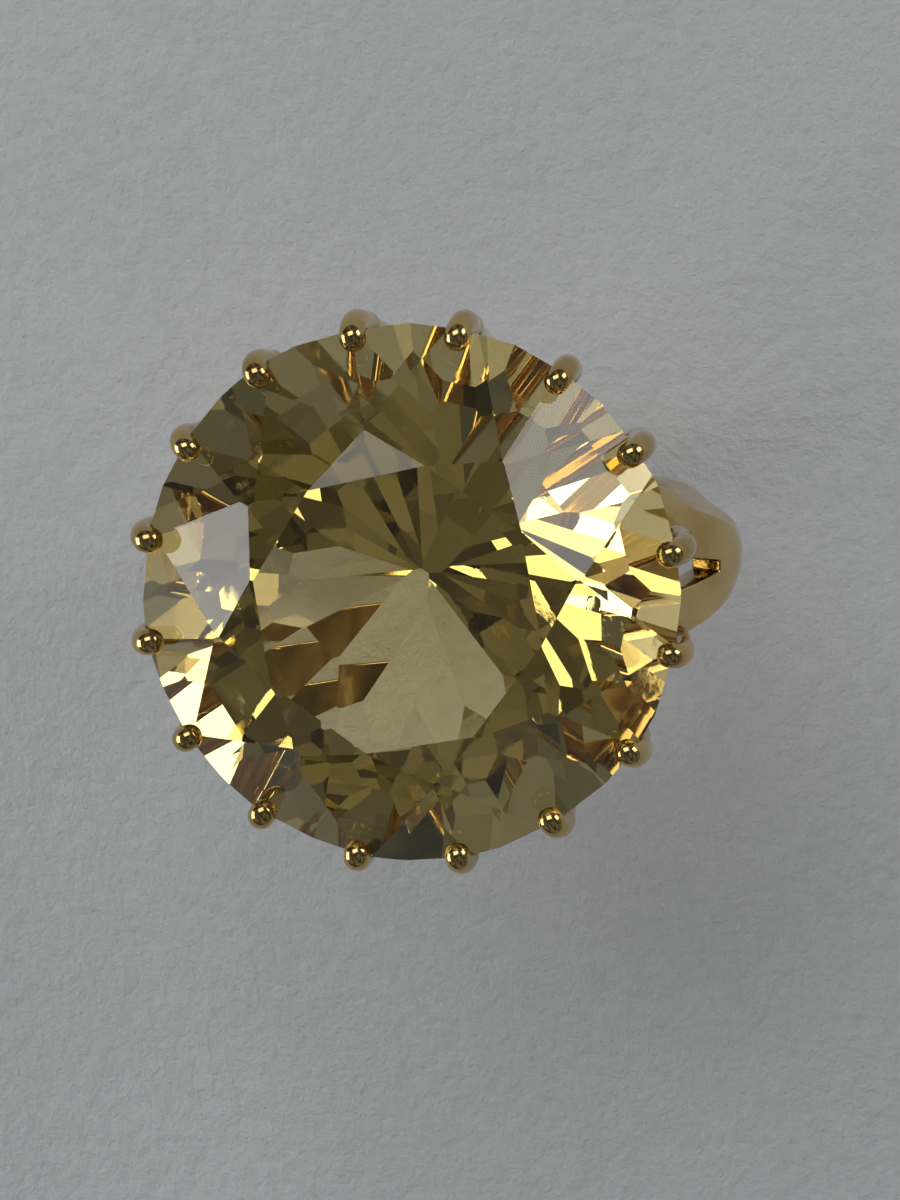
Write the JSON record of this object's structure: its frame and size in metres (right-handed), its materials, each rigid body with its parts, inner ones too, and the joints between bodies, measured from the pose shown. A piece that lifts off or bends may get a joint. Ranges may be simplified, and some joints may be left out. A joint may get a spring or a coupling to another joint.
{
  "type": "cocktail ring",
  "caption": "Finger ring with a large round brilliant-cut stone held in a coronet of wire claws, on a slim shank with forked shoulders.",
  "frame": {"origin": "centre of the finger hole", "axes": "+Z from the finger through the culet to the stone's table, Y along the finger, X across the shoulders"},
  "size_m": [0.0228, 0.0208, 0.0315],
  "materials": {
    "citrine": "polished facets, transparent pale lemon-olive",
    "claw_gold": "polished yellow gold wire",
    "gallery_gold": "satin yellow gold wire",
    "shank_gold": "polished yellow gold"
  },
  "bodies": {
    "root": {"gemstone": "citrine", "bearer_ring": "gallery_gold", "base_ring": "gallery_gold", "forked_shank": "shank_gold", "claw_01": "claw_gold", "claw_02": "claw_gold", "claw_03": "claw_gold", "claw_04": "claw_gold", "claw_05": "claw_gold", "claw_06": "claw_gold", "claw_07": "claw_gold", "claw_08": "claw_gold", "claw_09": "claw_gold", "claw_10": "claw_gold", "claw_11": "claw_gold", "claw_12": "claw_gold", "claw_13": "claw_gold", "claw_14": "claw_gold", "claw_15": "claw_gold", "claw_16": "claw_gold"}
  },
  "joints": []
}
